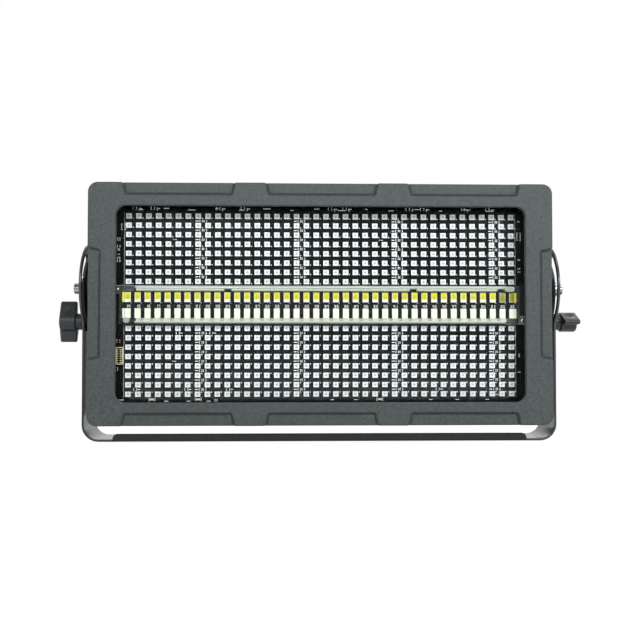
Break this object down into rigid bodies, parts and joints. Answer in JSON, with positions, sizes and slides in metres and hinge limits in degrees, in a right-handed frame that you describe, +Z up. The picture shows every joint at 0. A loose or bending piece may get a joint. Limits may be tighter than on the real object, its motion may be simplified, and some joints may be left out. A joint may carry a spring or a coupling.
{
  "type": "strobe light",
  "caption": "Wide stage strobe head with colour LED fields above and below a covered white strobe strip, tilting on a steel yoke with side lock knobs.",
  "frame": {"origin": "on the floor under the middle of the light's overall box, at the yoke base's underside", "axes": "+Z up, -Y the way the lamp shines, +X to the right as seen from the front"},
  "size_m": [0.4762, 0.1181, 0.2269],
  "materials": {
    "black_powder": "black powder coat, semi-gloss",
    "grey_plastic": "dark grey, fine texture",
    "grey_paint": "dark grey, fine texture",
    "knob_plastic": "black, satin",
    "black_plastic": "black, matt",
    "rubber": "black, matt",
    "friction_fibre": "dense black friction material",
    "steel": "bright zinc plate",
    "dark_steel": "blackened",
    "aluminium": "plain",
    "window_glass": "clear, polished",
    "clear_plastic": "clear, polished",
    "smoked_plastic": "smoked, polished",
    "led_board": "black circuit board with white LED packages",
    "strobe_board": "white LED packages with yellow faces",
    "pale_rail": "pale, satin",
    "circuit_board": "green circuit board"
  },
  "bodies": {
    "yoke": {"yoke_bracket": "black_powder"},
    "head": {"control_board": "circuit_board", "control_panel": "black_powder", "cover_end_left": "clear_plastic", "cover_end_right": "clear_plastic", "display_window": "smoked_plastic", "driver_board": "circuit_board", "ear_screw_left": "steel", "ear_screw_right": "steel", "fan_frame_left": "black_plastic", "fan_frame_right": "black_plastic", "fan_guard_left": "steel", "fan_guard_right": "steel", "friction_pad_left": "friction_fibre", "friction_pad_right": "friction_fibre", "front_bezel": "grey_plastic", "front_glass": "window_glass", "glass_gasket": "rubber", "heat_sink": "aluminium", "lower_led_board": "led_board", "lower_light_rail": "pale_rail", "panel_screw_1": "steel", "panel_screw_2": "steel", "panel_screw_3": "steel", "panel_screw_4": "steel", "pivot_bolt_left": "dark_steel", "pivot_bolt_right": "dark_steel", "pivot_bush_left": "dark_steel", "pivot_bush_right": "dark_steel", "pivot_spring_left": "steel", "pivot_spring_right": "steel", "power_inlet": "black_plastic", "power_outlet": "black_plastic", "power_supply": "aluminium", "rear_housing": "grey_paint", "safety_loop": "steel", "side_boss_left": "grey_plastic", "side_boss_right": "grey_plastic", "signal_inlet": "black_plastic", "signal_outlet": "black_plastic", "spacer_frame": "black_plastic", "strobe_carrier": "aluminium", "strobe_cover": "clear_plastic", "strobe_led_board": "strobe_board", "upper_led_board": "led_board", "upper_light_rail": "pale_rail"},
    "washer_left": {"lock_washer_left": "dark_steel"},
    "washer_right": {"lock_washer_right": "dark_steel"},
    "knob_left": {"lock_knob_left": "knob_plastic", "lock_stud_left": "steel"},
    "knob_right": {"lock_knob_right": "knob_plastic", "lock_stud_right": "steel"},
    "fan_left": {"fan_rotor_left": "black_plastic"},
    "fan_right": {"fan_rotor_right": "black_plastic"},
    "menu_key": {"menu_button": "rubber"},
    "up_key": {"up_button": "rubber"},
    "down_key": {"down_button": "rubber"},
    "enter_key": {"enter_button": "rubber"}
  },
  "joints": [
    {"name": "head_tilt", "type": "hinge", "parent": "yoke", "child": "head", "pos_m": [0, -0.00915, 0.1373], "axis": [1, 0, 0], "range_deg": [-140, 140]},
    {"name": "washer_slide_left", "type": "slide", "parent": "head", "child": "washer_left", "axis": [-1, 0, 0], "range_m": [0, 0.00125]},
    {"name": "knob_turn_left", "type": "hinge", "parent": "washer_left", "child": "knob_left", "pos_m": [-0.222, -0.00915, 0.107], "axis": [-1, 0, 0], "range_deg": [0, 360]},
    {"name": "washer_slide_right", "type": "slide", "parent": "head", "child": "washer_right", "axis": [1, 0, 0], "range_m": [0, 0.00125]},
    {"name": "knob_turn_right", "type": "hinge", "parent": "washer_right", "child": "knob_right", "pos_m": [0.222, -0.00915, 0.107], "axis": [1, 0, 0], "range_deg": [0, 360]},
    {"name": "fan_spin_left", "type": "hinge", "parent": "head", "child": "fan_left", "pos_m": [-0.15, 0.0285, 0.1213], "axis": [0, 1, 0], "continuous": true},
    {"name": "fan_spin_right", "type": "hinge", "parent": "head", "child": "fan_right", "pos_m": [0.15, 0.0285, 0.1213], "axis": [0, 1, 0], "continuous": true},
    {"name": "menu_press", "type": "slide", "parent": "head", "child": "menu_key", "axis": [0, -1, 0], "range_m": [0, 0.0008], "stiffness_N_per_m": 600, "springref_m": -0.001},
    {"name": "up_press", "type": "slide", "parent": "head", "child": "up_key", "axis": [0, -1, 0], "range_m": [0, 0.0008], "stiffness_N_per_m": 600, "springref_m": -0.001},
    {"name": "down_press", "type": "slide", "parent": "head", "child": "down_key", "axis": [0, -1, 0], "range_m": [0, 0.0008], "stiffness_N_per_m": 600, "springref_m": -0.001},
    {"name": "enter_press", "type": "slide", "parent": "head", "child": "enter_key", "axis": [0, -1, 0], "range_m": [0, 0.0008], "stiffness_N_per_m": 600, "springref_m": -0.001}
  ],
  "couplings": [
    {"joint": "knob_turn_left", "follows": "washer_slide_left", "rad_per_m": 5025},
    {"joint": "knob_turn_right", "follows": "washer_slide_right", "rad_per_m": 5025}
  ]
}
